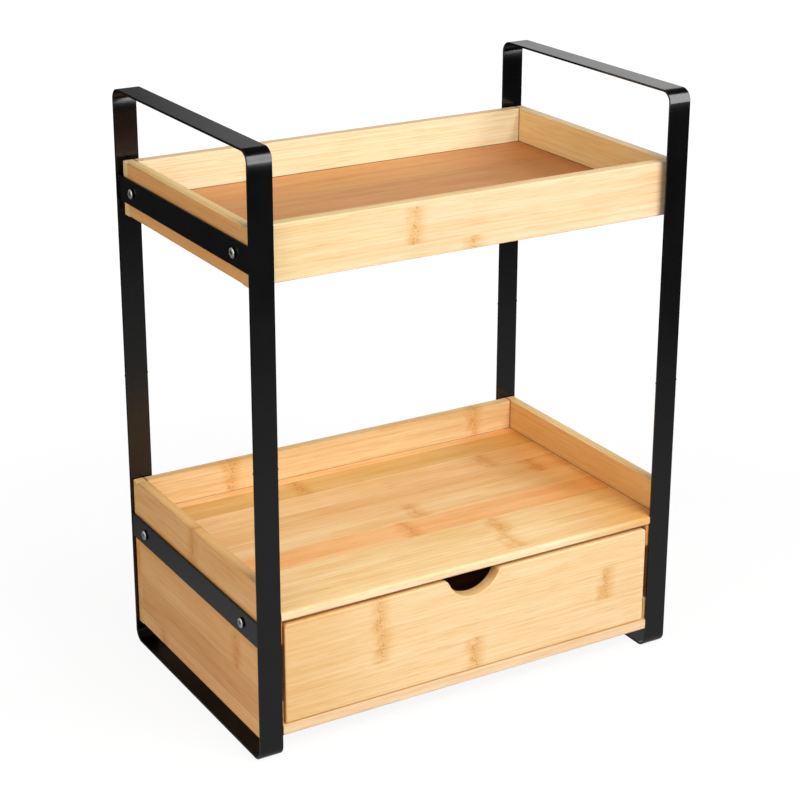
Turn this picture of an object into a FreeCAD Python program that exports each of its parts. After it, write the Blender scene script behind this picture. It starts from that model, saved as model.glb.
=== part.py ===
import FreeCAD, Part
import os
import re
import Sketcher

# Two-tier condiment caddy with a drawer. Two black steel side loops carry a bamboo
# tray above and a bamboo cabinet below, whose drawer slides out to the front.
# Millimetres. +X is the caddy's width, -Y its front, +Z up. The origin is on the
# surface that it stands on, under its middle.

doc = FreeCAD.newDocument("CondimentCaddy")

SIZES = [
    # side loops, bent from flat strip
    ("overall_width", 320.0, "over the outer edges of both side loops"),
    ("overall_depth", 195.0, "over the front and rear posts"),
    ("overall_height", 400.0, "from the surface to the top of the loops"),
    ("strip_width", 16.5, "flat steel strip"),
    ("strip_thickness", 1.5, "flat steel strip"),
    ("bend_radius", 8.0, "outside of each bend"),
    ("strip_edge_round", 0.35, "rolled edge of the strip"),
    ("weld_height", 0.8, "gap between the two hoops, filled by a weld"),
    ("weld_proud", 0.15, "weld standing out of the strip's faces"),
    # crossbars
    ("crossbar_height", 17.3, "flat steel strip"),
    ("upper_bar_drop", 66.5, "top of the loop down to the upper crossbar's middle"),
    ("lower_bar_rise", 89.9, "surface up to the lower crossbar's middle"),
    ("upper_bar_inset", 1.2, "upper crossbar in from the loop's outer edge"),
    ("lower_bar_inset", 0.3, "lower crossbar in from the loop's outer edge"),
    # screws
    ("screw_post_distance", 21.5, "post's inner face to the screw's axis"),
    ("screw_head_diameter", 7.0, "pan head"),
    ("screw_head_height", 1.6, "pan head"),
    ("screw_head_round", 1.1, "rounded rim of the head"),
    ("screw_shank_diameter", 3.6, "shank"),
    ("screw_grip_depth", 5.5, "shank in the wood"),
    ("screw_tip", 1.2, "chamfered end of the shank"),
    ("screw_clearance", 0.1, "radial, round the shank"),
    ("recess_slot_length", 3.8, "cross recess"),
    ("recess_slot_width", 1.0, "cross recess"),
    ("recess_depth", 1.1, "cross recess"),
    # top tray
    ("tray_post_gap", 5.0, "posts' inner faces to the tray"),
    ("tray_drop", 9.1, "upper crossbar's lower edge down to the tray's underside"),
    ("tray_wall_height", 36.4, "all four walls"),
    ("tray_wall_thickness", 7.5, "all four walls"),
    ("tray_floor_rise", 8.2, "tray's underside up to the floor panel's underside"),
    ("tray_floor_thickness", 4.0, "floor panel"),
    ("groove_depth", 3.0, "grooves for the tray's floor and the drawer's bottom"),
    ("groove_clearance", 0.2, "above and round a panel in its grooves"),
    # cabinet
    ("cabinet_post_gap", 0.5, "posts' inner faces to the cabinet"),
    ("cabinet_lift", 15.0, "surface to the cabinet's underside"),
    ("cabinet_height", 108.7, "side panels and back"),
    ("cabinet_panel_thickness", 7.5, "side panels and back"),
    ("cabinet_bottom_thickness", 7.5, "bottom board"),
    ("shelf_drop", 22.0, "side panels' top down to the shelf's top"),
    ("shelf_thickness", 6.0, "shelf"),
    ("board_post_clearance", 0.3, "shelf and bottom board, each side, between the posts"),
    ("rail_height", 16.5, "guide rails"),
    # drawer
    ("drawer_post_gap", 2.6, "each side of the drawer's front, to the post"),
    ("drawer_rail_gap", 1.2, "each side of the drawer, to the guide rails"),
    ("drawer_top_gap", 2.9, "drawer's front to the shelf"),
    ("drawer_bottom_gap", 0.7, "drawer's front to the bottom board"),
    ("drawer_running_gap", 0.3, "drawer's sides to the bottom board"),
    ("drawer_setback", 0.7, "drawer's front behind the shelf's front edge"),
    ("drawer_back_gap", 3.0, "drawer's back to the cabinet's back"),
    ("drawer_front_thickness", 9.0, "drawer's front"),
    ("drawer_side_thickness", 7.5, "drawer's sides and back"),
    ("drawer_side_drop", 12.0, "drawer's front's top down to the top of its sides and back"),
    ("drawer_bottom_rise", 5.0, "sides' lower edges up to the bottom panel"),
    ("drawer_bottom_thickness", 3.0, "bottom panel"),
    ("notch_width", 40.0, "finger notch, at the front's top edge"),
    ("notch_depth", 15.0, "finger notch"),
    ("notch_shoulder", 4.0, "rounded shoulders of the finger notch"),
    # finish of the wood
    ("board_edge_round", 1.0, "sanded edges of walls and panels"),
    ("front_edge_round", 1.8, "eased front edges of the shelf and bottom board"),
    ("drawer_corner_round", 2.5, "drawer front's upper corners"),
]

sheet = doc.addObject("Spreadsheet::Sheet", "Sizes")
for row, (alias, value, note) in enumerate(SIZES, start=1):
    sheet.set(f"A{row}", note)
    sheet.set(f"B{row}", str(value))
    sheet.setAlias(f"B{row}", alias)
doc.recompute()

ALIAS_WORD = re.compile(r"[a-z]+(?:_[a-z]+)+")
SIDES = {"left": -1, "right": 1}
TOUCH = 0.01  # two places closer than this are the same place


def size(alias):
    return float(sheet.get(alias))


def formula(text):
    """Puts the sheet's name before each alias, as an expression needs it."""
    return ALIAS_WORD.sub(lambda word: f"Sizes.{word.group(0)}", text)


def evaluate(text):
    """A formula's value, in millimetres."""
    return float(FreeCAD.Units.parseQuantity(ALIAS_WORD.sub(lambda word: str(size(word.group(0))), text)))


def bind(thing, **places):
    """Binds properties to formulas; Base_x stands for Placement.Base.x."""
    for name, text in places.items():
        path = name.replace("Base_", "Placement.Base.")
        thing.setExpression(path, formula(text))


# Places that several pieces share, as formulas of the sheet's sizes.
LOOP_OUTER_X = "(overall_width / 2)"
POST_INNER_X = "(overall_width / 2 - strip_width)"
POST_OUTER_Y = "(overall_depth / 2)"
POST_INNER_Y = "(overall_depth / 2 - strip_thickness)"
LOOP_MIDDLE_Z = "(overall_height / 2)"
BAR_HALF = "(crossbar_height / 2)"
BAR_OUTER_X = {
    "upper": f"({LOOP_OUTER_X} - upper_bar_inset)",
    "lower": f"({LOOP_OUTER_X} - lower_bar_inset)",
}
BAR_INNER_X = {level: f"({outer} - strip_thickness)" for level, outer in BAR_OUTER_X.items()}
BAR_Z = {"upper": "(overall_height - upper_bar_drop)", "lower": "(lower_bar_rise)"}
SCREW_Y = f"({POST_INNER_Y} - screw_post_distance)"
SCREW_HOLE_R = "(screw_shank_diameter / 2 + screw_clearance)"

TRAY_OUTER_X = BAR_INNER_X["upper"]
TRAY_INNER_X = f"({TRAY_OUTER_X} - tray_wall_thickness)"
TRAY_OUTER_Y = f"({POST_INNER_Y} - tray_post_gap)"
TRAY_INNER_Y = f"({TRAY_OUTER_Y} - tray_wall_thickness)"
TRAY_BOTTOM_Z = f"({BAR_Z['upper']} - {BAR_HALF} - tray_drop)"
TRAY_TOP_Z = f"({TRAY_BOTTOM_Z} + tray_wall_height)"
TRAY_PANEL_Z = f"({TRAY_BOTTOM_Z} + tray_floor_rise)"

CABINET_OUTER_X = BAR_INNER_X["lower"]
CABINET_INNER_X = f"({CABINET_OUTER_X} - cabinet_panel_thickness)"
CABINET_OUTER_Y = f"({POST_INNER_Y} - cabinet_post_gap)"
CABINET_BACK_Y = f"({CABINET_OUTER_Y} - cabinet_panel_thickness)"
CABINET_BOTTOM_Z = "(cabinet_lift)"
CABINET_TOP_Z = f"({CABINET_BOTTOM_Z} + cabinet_height)"
BOTTOM_TOP_Z = f"({CABINET_BOTTOM_Z} + cabinet_bottom_thickness)"
SHELF_TOP_Z = f"({CABINET_TOP_Z} - shelf_drop)"
SHELF_BOTTOM_Z = f"({SHELF_TOP_Z} - shelf_thickness)"
TONGUE_X = f"({POST_INNER_X} - board_post_clearance)"

DRAWER_X = f"({POST_INNER_X} - drawer_post_gap)"
DRAWER_INNER_X = f"({DRAWER_X} - drawer_side_thickness)"
DRAWER_FRONT_Y = f"({POST_OUTER_Y} - drawer_setback)"
DRAWER_FRONT_BACK_Y = f"({DRAWER_FRONT_Y} - drawer_front_thickness)"
DRAWER_REAR_Y = f"({CABINET_BACK_Y} - drawer_back_gap)"
DRAWER_REAR_INNER_Y = f"({DRAWER_REAR_Y} - drawer_side_thickness)"
DRAWER_FRONT_BOTTOM_Z = f"({BOTTOM_TOP_Z} + drawer_bottom_gap)"
DRAWER_FRONT_TOP_Z = f"({SHELF_BOTTOM_Z} - drawer_top_gap)"
DRAWER_BOTTOM_Z = f"({BOTTOM_TOP_Z} + drawer_running_gap)"
DRAWER_SIDE_TOP_Z = f"({DRAWER_FRONT_TOP_Z} - drawer_side_drop)"
DRAWER_PANEL_Z = f"({DRAWER_BOTTOM_Z} + drawer_bottom_rise)"
RAIL_INNER_X = f"({DRAWER_X} + drawer_rail_gap)"


def minus(text):
    return f"-({text})"


def both_ways(text):
    """The stretch from minus to plus a distance from the middle."""
    return minus(text), text


def on_side(side, inner, outer):
    """A stretch along X on the left or right side, as (lower, upper)."""
    return (inner, outer) if side == "right" else (minus(outer), minus(inner))


def new_body(name):
    body = doc.addObject("PartDesign::Body", name)
    body.Label = name
    return body


def add_box(body, name, x, y, z, kind="Additive"):
    """A block between three pairs of places, added to the body or cut from it."""
    block = body.newObject(f"PartDesign::{kind}Box", f"{body.Name}_{name}")
    bind(
        block,
        Length=f"({x[1]}) - ({x[0]})",
        Width=f"({y[1]}) - ({y[0]})",
        Height=f"({z[1]}) - ({z[0]})",
        Base_x=x[0],
        Base_y=y[0],
        Base_z=z[0],
    )
    doc.recompute()
    return block


def cut_box(body, name, x, y, z):
    return add_box(body, name, x, y, z, kind="Subtractive")


LIMITS = {
    "left": ("X", "Min"),
    "right": ("X", "Max"),
    "front": ("Y", "Min"),
    "back": ("Y", "Max"),
    "bottom": ("Z", "Min"),
    "top": ("Z", "Max"),
}


def lies_on(edge, shape, side):
    axis, end = LIMITS[side]
    plane = getattr(shape.BoundBox, axis + end)
    low = getattr(edge.BoundBox, axis + "Min")
    high = getattr(edge.BoundBox, axis + "Max")
    return abs(low - plane) < TOUCH and abs(high - plane) < TOUCH


def between(*pairs):
    """Picks the edges where two outer sides of a piece meet, such as ("top", "front")."""
    return lambda edge, shape: any(lies_on(edge, shape, a) and lies_on(edge, shape, b) for a, b in pairs)


def round_edges(body, name, pick, radius):
    base = body.Tip
    numbers = [i for i, edge in enumerate(base.Shape.Edges, start=1) if pick(edge, base.Shape)]
    fillet = body.newObject("PartDesign::Fillet", f"{body.Name}_{name}")
    fillet.Base = (base, [f"Edge{i}" for i in numbers])
    bind(fillet, Radius=radius)
    doc.recompute()
    return fillet


def origin_feature(body, role):
    return next(part for part in body.Origin.OriginFeatures if part.Role == role)


def outline_sketch(body, name, plane, corners):
    """A closed outline of straight lines, each corner held at a pair of formulas."""
    sketch = body.newObject("Sketcher::SketchObject", f"{body.Name}_{name}")
    sketch.AttachmentSupport = (origin_feature(body, plane), [""])
    sketch.MapMode = "FlatFace"
    points = [FreeCAD.Vector(*(evaluate(place) for place in corner), 0) for corner in corners]
    for start, end in zip(points, points[1:] + points[:1]):
        sketch.addGeometry(Part.LineSegment(start, end), False)
    for line, corner in enumerate(corners):
        sketch.addConstraint(Sketcher.Constraint("Coincident", line, 1, (line - 1) % len(corners), 2))
        for axis, place, at in zip(("DistanceX", "DistanceY"), corner, (points[line].x, points[line].y)):
            number = sketch.addConstraint(Sketcher.Constraint(axis, line, 1, at))
            sketch.setExpression(f"Constraints[{number}]", formula(place))
    doc.recompute()
    return sketch


def pad(body, sketch, length, middle):
    """Thickens a sketch in the YZ plane, half each way, about a place along X."""
    solid = body.newObject("PartDesign::Pad", f"{body.Name}_pad")
    solid.Profile = sketch
    solid.SideType = "Symmetric"
    bind(solid, Length=length)
    bind(body, Base_x=middle)
    doc.recompute()
    return solid


# The two side loops: an upper and a lower hoop, butt-welded halfway up both posts.


def corner_edges(depth, height):
    """Picks the edges along X at a distance from the middle and a height."""

    def pick(edge, shape):
        box = edge.BoundBox
        along_x = box.XLength > TOUCH and box.YLength < TOUCH and box.ZLength < TOUCH
        at_depth = abs(abs(box.YMin) - evaluate(depth)) < TOUCH
        at_height = abs(box.ZMin - evaluate(height)) < TOUCH
        return along_x and at_depth and at_height

    return pick


def make_hoop(side, level):
    """A hoop opens towards the loop's middle: the bar is across its far end."""
    upper = level == "upper"
    body = new_body(f"{side}_loop_{level}_hoop")
    end_z = f"{LOOP_MIDDLE_Z} {'+' if upper else '-'} weld_height / 2"
    bar_outer_z = "overall_height" if upper else "0"
    bar_inner_z = "overall_height - strip_thickness" if upper else "strip_thickness"
    corners = [
        (minus(POST_OUTER_Y), end_z),
        (minus(POST_OUTER_Y), bar_outer_z),
        (POST_OUTER_Y, bar_outer_z),
        (POST_OUTER_Y, end_z),
        (POST_INNER_Y, end_z),
        (POST_INNER_Y, bar_inner_z),
        (minus(POST_INNER_Y), bar_inner_z),
        (minus(POST_INNER_Y), end_z),
    ]
    profile = outline_sketch(body, "profile", "YZ_Plane", corners)
    middle = f"{SIDES[side]} * ({LOOP_OUTER_X} - strip_width / 2)"
    pad(body, profile, "strip_width", middle)
    round_edges(body, "outer_bends", corner_edges(POST_OUTER_Y, bar_outer_z), "bend_radius")
    round_edges(body, "inner_bends", corner_edges(POST_INNER_Y, bar_inner_z), "bend_radius - strip_thickness")
    end = "bottom" if upper else "top"
    rims = lambda edge, shape: (
        (lies_on(edge, shape, "left") or lies_on(edge, shape, "right")) and not lies_on(edge, shape, end)
    )
    round_edges(body, "rolled_edges", rims, "strip_edge_round")
    return body


def make_loop_welds(side):
    """One bead on the front post and one on the rear post."""
    body = new_body(f"{side}_loop_welds")
    posts = {
        "front": (minus(POST_OUTER_Y), minus(POST_INNER_Y)),
        "rear": (POST_INNER_Y, POST_OUTER_Y),
    }
    for post, (near_y, far_y) in posts.items():
        add_box(
            body,
            f"{post}_bead",
            on_side(side, f"{POST_INNER_X} - weld_proud", f"{LOOP_OUTER_X} + weld_proud"),
            (f"{near_y} - weld_proud", f"{far_y} + weld_proud"),
            (f"{LOOP_MIDDLE_Z} - weld_height / 2", f"{LOOP_MIDDLE_Z} + weld_height / 2"),
        )
    return body


# Crossbars and their screws.


def bore_pair(body, side, level, far_x, near_x):
    """Two holes along X for the screws of one crossbar."""
    low, high = on_side(side, near_x, far_x)
    for name, place in (("front", minus(SCREW_Y)), ("rear", SCREW_Y)):
        hole = body.newObject("PartDesign::SubtractiveCylinder", f"{body.Name}_{name}_hole")
        hole.Placement.Rotation = FreeCAD.Rotation(FreeCAD.Vector(0, 1, 0), 90)
        bind(hole, Radius=SCREW_HOLE_R, Height=f"({high}) - ({low})")
        bind(hole, Base_x=low, Base_y=place, Base_z=BAR_Z[level])
        doc.recompute()


def make_crossbar(side, level):
    body = new_body(f"{side}_{level}_crossbar")
    add_box(
        body,
        "bar",
        on_side(side, BAR_INNER_X[level], BAR_OUTER_X[level]),
        both_ways(POST_INNER_Y),
        (f"{BAR_Z[level]} - {BAR_HALF}", f"{BAR_Z[level]} + {BAR_HALF}"),
    )
    rims = [(face, edge) for face in ("left", "right") for edge in ("top", "bottom")]
    round_edges(body, "rolled_edges", between(*rims), "strip_edge_round")
    bore_pair(body, side, level, BAR_OUTER_X[level], BAR_INNER_X[level])
    return body


def make_screws(side, level):
    """A pair of pan-head screws. Their own +X points out of the crossbar."""
    body = new_body(f"{side}_{level}_screws")
    shank_r = "screw_shank_diameter / 2"
    head_r = "screw_head_diameter / 2"
    length = "(screw_grip_depth + strip_thickness)"
    profile = outline_sketch(
        body,
        "profile",
        "XY_Plane",
        [
            (minus(length), "0"),
            (minus(length), f"{shank_r} - screw_tip / 2"),
            (f"screw_tip - {length}", shank_r),
            ("0", shank_r),
            ("0", head_r),
            ("screw_head_height", head_r),
            ("screw_head_height", "0"),
        ],
    )
    turned = body.newObject("PartDesign::Revolution", f"{body.Name}_turned")
    turned.Profile = profile
    turned.ReferenceAxis = (profile, ["H_Axis"])
    turned.Angle = 360
    doc.recompute()
    rim = lambda edge, shape: lies_on(edge, shape, "right") and edge.Length > TOUCH
    round_edges(body, "head_rim", rim, "screw_head_round")
    recess_x = ("screw_head_height - recess_depth", "screw_head_height")
    long_slot = both_ways("recess_slot_length / 2")
    narrow_slot = both_ways("recess_slot_width / 2")
    cut_box(body, "recess_across", recess_x, long_slot, narrow_slot)
    cut_box(body, "recess_upright", recess_x, narrow_slot, long_slot)
    pair = body.newObject("PartDesign::LinearPattern", f"{body.Name}_pair")
    pair.TransformMode = "Whole shape"
    pair.Direction = (origin_feature(body, "Y_Axis"), [""])
    pair.Mode = "Spacing"
    pair.Occurrences = 2
    bind(pair, Offset=f"2 * {SCREW_Y}")
    body.Tip = pair
    outward = SIDES[side]
    body.Placement.Rotation = FreeCAD.Rotation(FreeCAD.Vector(0, 0, 1), 0 if outward > 0 else 180)
    bind(body, Base_x=f"{outward} * {BAR_OUTER_X[level]}", Base_y=f"{-outward} * {SCREW_Y}")
    bind(body, Base_z=BAR_Z[level])
    doc.recompute()
    return body


# The top tray: the front and back walls run the full width, the side walls stand
# between them, and the floor panel lies in a groove round all four.

GROOVE_TRAY_Z = (TRAY_PANEL_Z, f"{TRAY_PANEL_Z} + tray_floor_thickness + groove_clearance")
TRAY_Z = (TRAY_BOTTOM_Z, TRAY_TOP_Z)


def full_width_edges(facing):
    """Picks what is sanded on a full-width board: round its outer face, and its top's ends."""
    rims = [(rim, facing) for rim in ("top", "bottom", "left", "right")]
    return between(*rims, ("top", "left"), ("top", "right"))


def make_tray_end_wall(facing, y, groove_y):
    body = new_body(f"top_tray_{facing}_wall")
    add_box(body, "board", both_ways(TRAY_OUTER_X), y, TRAY_Z)
    round_edges(body, "sanded_edges", full_width_edges(facing), "board_edge_round")
    cut_box(body, "groove", both_ways(f"{TRAY_INNER_X} + groove_depth"), groove_y, GROOVE_TRAY_Z)
    return body


def make_tray_side_wall(side):
    body = new_body(f"top_tray_{side}_wall")
    add_box(body, "board", on_side(side, TRAY_INNER_X, TRAY_OUTER_X), both_ways(TRAY_INNER_Y), TRAY_Z)
    round_edges(body, "sanded_edges", between(("top", side), ("bottom", side)), "board_edge_round")
    groove_x = on_side(side, TRAY_INNER_X, f"{TRAY_INNER_X} + groove_depth")
    cut_box(body, "groove", groove_x, both_ways(TRAY_INNER_Y), GROOVE_TRAY_Z)
    bore_pair(body, side, "upper", TRAY_OUTER_X, f"{TRAY_OUTER_X} - screw_grip_depth - screw_clearance")
    return body


def make_tray_floor():
    body = new_body("top_tray_floor")
    reach = "groove_depth - groove_clearance"
    add_box(
        body,
        "panel",
        both_ways(f"{TRAY_INNER_X} + {reach}"),
        both_ways(f"{TRAY_INNER_Y} + {reach}"),
        (TRAY_PANEL_Z, f"{TRAY_PANEL_Z} + tray_floor_thickness"),
    )
    return body


# The cabinet: two side panels against the crossbars, a back behind them, a shelf
# and a bottom board between them, and four guide rails that flank the drawer.

CABINET_Z = (CABINET_BOTTOM_Z, CABINET_TOP_Z)


def make_cabinet_side(side):
    body = new_body(f"cabinet_{side}_side")
    y = (minus(CABINET_OUTER_Y), CABINET_BACK_Y)
    add_box(body, "board", on_side(side, CABINET_INNER_X, CABINET_OUTER_X), y, CABINET_Z)
    edges = [("top", side), ("bottom", side), ("front", side), ("top", "front")]
    round_edges(body, "sanded_edges", between(*edges), "board_edge_round")
    bore_pair(body, side, "lower", CABINET_OUTER_X, f"{CABINET_OUTER_X} - screw_grip_depth - screw_clearance")
    return body


def make_cabinet_back():
    body = new_body("cabinet_back")
    add_box(body, "board", both_ways(CABINET_OUTER_X), (CABINET_BACK_Y, CABINET_OUTER_Y), CABINET_Z)
    round_edges(body, "sanded_edges", full_width_edges("back"), "board_edge_round")
    return body


def make_cabinet_board(name, z, eased):
    """A board between the side panels whose front tongue reaches out between the posts."""
    body = new_body(f"cabinet_{name}")
    corners = [
        (minus(TONGUE_X), minus(POST_OUTER_Y)),
        (TONGUE_X, minus(POST_OUTER_Y)),
        (TONGUE_X, minus(CABINET_OUTER_Y)),
        (CABINET_INNER_X, minus(CABINET_OUTER_Y)),
        (CABINET_INNER_X, CABINET_BACK_Y),
        (minus(CABINET_INNER_X), CABINET_BACK_Y),
        (minus(CABINET_INNER_X), minus(CABINET_OUTER_Y)),
        (minus(TONGUE_X), minus(CABINET_OUTER_Y)),
    ]
    board = body.newObject("PartDesign::Pad", f"cabinet_{name}_board")
    board.Profile = outline_sketch(body, "outline", "XY_Plane", corners)
    bind(board, Length=f"({z[1]}) - ({z[0]})")
    bind(body, Base_z=z[0])
    doc.recompute()
    round_edges(body, "eased_front", between(*[(edge, "front") for edge in eased]), "front_edge_round")
    return body


def make_guide_rail(side, level):
    body = new_body(f"{side}_{level}_guide_rail")
    if level == "lower":
        z = (BOTTOM_TOP_Z, f"{BOTTOM_TOP_Z} + rail_height")
    else:
        z = (f"{SHELF_BOTTOM_Z} - rail_height", SHELF_BOTTOM_Z)
    y = (minus(CABINET_OUTER_Y), CABINET_BACK_Y)
    add_box(body, "rail", on_side(side, RAIL_INNER_X, CABINET_INNER_X), y, z)
    return body


# The drawer: a front with a finger notch, two sides that run back from it, a back
# between them, and a thin bottom panel in a groove round all four.

GROOVE_DRAWER_Z = (DRAWER_PANEL_Z, f"{DRAWER_PANEL_Z} + drawer_bottom_thickness + groove_clearance")


def make_drawer_front():
    body = new_body("drawer_front")
    y = (minus(DRAWER_FRONT_Y), minus(DRAWER_FRONT_BACK_Y))
    add_box(body, "board", both_ways(DRAWER_X), y, (DRAWER_FRONT_BOTTOM_Z, DRAWER_FRONT_TOP_Z))
    round_edges(body, "upper_corners", between(("top", "left"), ("top", "right")), "drawer_corner_round")
    cut_notch(body)
    front_face = lambda edge, shape: lies_on(edge, shape, "front")
    round_edges(body, "sanded_edges", front_face, "board_edge_round")
    groove_y = (f"-{DRAWER_FRONT_BACK_Y} - groove_depth", minus(DRAWER_FRONT_BACK_Y))
    cut_box(body, "groove", both_ways(f"{DRAWER_INNER_X} + groove_depth"), groove_y, GROOVE_DRAWER_Z)
    return body


def cut_notch(body):
    """A round scoop in the top edge, deep as stated and as wide as stated at that edge."""
    half_width = size("notch_width") / 2
    radius = "(notch_width * notch_width / 4 + notch_depth * notch_depth) / (2 * notch_depth)"
    top = evaluate(DRAWER_FRONT_TOP_Z)
    middle = FreeCAD.Vector(0, top - size("notch_depth") + evaluate(radius), 0)
    left = FreeCAD.Vector(-half_width, top, 0)
    right = FreeCAD.Vector(half_width, top, 0)
    sketch = body.newObject("Sketcher::SketchObject", "drawer_front_scoop")
    sketch.AttachmentSupport = (origin_feature(body, "XZ_Plane"), [""])
    sketch.MapMode = "FlatFace"
    circle = Part.Circle(middle, FreeCAD.Vector(0, 0, 1), evaluate(radius))
    sketch.addGeometry(Part.LineSegment(left, right), False)
    sketch.addGeometry(Part.ArcOfCircle(circle, circle.parameter(left), circle.parameter(right)), False)
    sketch.addConstraint(Sketcher.Constraint("Coincident", 0, 1, 1, 1))
    sketch.addConstraint(Sketcher.Constraint("Coincident", 0, 2, 1, 2))
    half = "notch_width / 2"
    held = (
        ("DistanceX", 1, minus(half)),
        ("DistanceX", 2, half),
        ("DistanceY", 1, DRAWER_FRONT_TOP_Z),
        ("DistanceY", 2, DRAWER_FRONT_TOP_Z),
    )
    for axis, end, place in held:
        number = sketch.addConstraint(Sketcher.Constraint(axis, 0, end, evaluate(place)))
        sketch.setExpression(f"Constraints[{number}]", formula(place))
    number = sketch.addConstraint(Sketcher.Constraint("Radius", 1, evaluate(radius)))
    sketch.setExpression(f"Constraints[{number}]", formula(radius))
    doc.recompute()
    scoop = body.newObject("PartDesign::Pocket", "drawer_front_notch")
    scoop.Profile = sketch
    scoop.Type = "ThroughAll"
    scoop.SideType = "Symmetric"
    doc.recompute()

    def shoulders(edge, shape):
        box = edge.BoundBox
        across = box.YLength > TOUCH and box.XLength < TOUCH and box.ZLength < TOUCH
        return across and abs(abs(box.XMin) - half_width) < TOUCH

    round_edges(body, "notch_shoulders", shoulders, "notch_shoulder")


def make_drawer_side(side):
    body = new_body(f"drawer_{side}_side")
    y = (minus(DRAWER_FRONT_BACK_Y), DRAWER_REAR_Y)
    z = (DRAWER_BOTTOM_Z, DRAWER_SIDE_TOP_Z)
    add_box(body, "board", on_side(side, DRAWER_INNER_X, DRAWER_X), y, z)
    inner = "left" if side == "right" else "right"
    sanded = between(("top", side), ("top", inner), ("back", side))
    round_edges(body, "sanded_edges", sanded, "board_edge_round")
    groove_x = on_side(side, DRAWER_INNER_X, f"{DRAWER_INNER_X} + groove_depth")
    groove_y = (minus(DRAWER_FRONT_BACK_Y), f"{DRAWER_REAR_INNER_Y} + groove_depth")
    cut_box(body, "groove", groove_x, groove_y, GROOVE_DRAWER_Z)
    return body


def make_drawer_back():
    body = new_body("drawer_back")
    y = (DRAWER_REAR_INNER_Y, DRAWER_REAR_Y)
    add_box(body, "board", both_ways(DRAWER_INNER_X), y, (DRAWER_BOTTOM_Z, DRAWER_SIDE_TOP_Z))
    round_edges(body, "sanded_edges", between(("top", "front"), ("top", "back")), "board_edge_round")
    groove_y = (DRAWER_REAR_INNER_Y, f"{DRAWER_REAR_INNER_Y} + groove_depth")
    cut_box(body, "groove", both_ways(DRAWER_INNER_X), groove_y, GROOVE_DRAWER_Z)
    return body


def make_drawer_bottom():
    body = new_body("drawer_bottom")
    reach = "groove_depth - groove_clearance"
    add_box(
        body,
        "panel",
        both_ways(f"{DRAWER_INNER_X} + {reach}"),
        (f"-{DRAWER_FRONT_BACK_Y} - ({reach})", f"{DRAWER_REAR_INNER_Y} + {reach}"),
        (DRAWER_PANEL_Z, f"{DRAWER_PANEL_Z} + drawer_bottom_thickness"),
    )
    return body


parts = []
for side in SIDES:
    for level in ("upper", "lower"):
        parts.append(make_hoop(side, level))
        parts.append(make_crossbar(side, level))
        parts.append(make_screws(side, level))
        parts.append(make_guide_rail(side, level))
    parts.append(make_loop_welds(side))
    parts.append(make_tray_side_wall(side))
    parts.append(make_cabinet_side(side))
    parts.append(make_drawer_side(side))
parts.append(
    make_tray_end_wall(
        "front",
        (minus(TRAY_OUTER_Y), minus(TRAY_INNER_Y)),
        (f"-{TRAY_INNER_Y} - groove_depth", minus(TRAY_INNER_Y)),
    )
)
parts.append(
    make_tray_end_wall(
        "back",
        (TRAY_INNER_Y, TRAY_OUTER_Y),
        (TRAY_INNER_Y, f"{TRAY_INNER_Y} + groove_depth"),
    )
)
parts.append(make_tray_floor())
parts.append(make_cabinet_back())
parts.append(make_cabinet_board("shelf", (SHELF_BOTTOM_Z, SHELF_TOP_Z), ("top", "bottom")))
parts.append(make_cabinet_board("bottom", (CABINET_BOTTOM_Z, BOTTOM_TOP_Z), ("bottom",)))
parts.append(make_drawer_front())
parts.append(make_drawer_back())
parts.append(make_drawer_bottom())

doc.recompute()
for thing in doc.Objects:
    if "Invalid" in thing.State or "Error" in thing.State:
        raise RuntimeError(f"{thing.Label} failed: {thing.State}")
for part in parts:
    if part.Shape.isNull() or not part.Shape.isValid():
        raise RuntimeError(f"{part.Label} has no valid shape")

os.makedirs("parts", exist_ok=True)
for part in parts:
    part.Shape.exportStep(f"parts/{part.Label}.step")
    box = part.Shape.BoundBox
    extent = f"{box.XLength:.1f} x {box.YLength:.1f} x {box.ZLength:.1f}"
    print(f"{part.Label}: {len(part.Shape.Solids)} solid(s), {part.Shape.Volume:.0f} mm3, {extent} mm")
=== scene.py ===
# %% [markdown]
# # A condiment caddy with a drawer
# Two closed loops of black steel strip stand at the sides. Between them hang a bamboo
# tray at the top and a bamboo cabinet with one drawer at the bottom.
# The solids come from the CAD model, in metres and already in place, so this lesson
# gives them their finishes, adds the small welds and sets up the studio.

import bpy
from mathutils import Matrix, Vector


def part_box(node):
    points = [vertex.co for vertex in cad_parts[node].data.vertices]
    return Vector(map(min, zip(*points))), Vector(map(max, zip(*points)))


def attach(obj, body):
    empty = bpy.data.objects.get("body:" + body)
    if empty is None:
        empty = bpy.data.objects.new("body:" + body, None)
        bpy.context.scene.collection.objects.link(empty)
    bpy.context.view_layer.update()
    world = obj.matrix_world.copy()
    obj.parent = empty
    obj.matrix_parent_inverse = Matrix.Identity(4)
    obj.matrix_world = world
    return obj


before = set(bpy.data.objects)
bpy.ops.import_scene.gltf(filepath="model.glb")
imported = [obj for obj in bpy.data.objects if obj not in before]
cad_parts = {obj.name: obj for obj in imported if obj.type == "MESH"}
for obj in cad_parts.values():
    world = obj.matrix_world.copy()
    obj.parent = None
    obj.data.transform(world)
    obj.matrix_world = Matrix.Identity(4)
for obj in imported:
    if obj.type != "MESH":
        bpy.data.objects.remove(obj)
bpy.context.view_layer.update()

# %% [markdown]
# ## Small helpers
# Colours are written as the sRGB hex values that a paint chart gives, and shaders want
# linear light, so one function turns them. Sizes in the finishes are real millimetres,
# and the frame is in metres, so two names turn one into the other.

# %% Colour and length helpers
import math
import random

import bmesh
import bpy
from mathutils import Matrix, Vector

MM = 0.001
MM_PER_M = 1000.0


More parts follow.
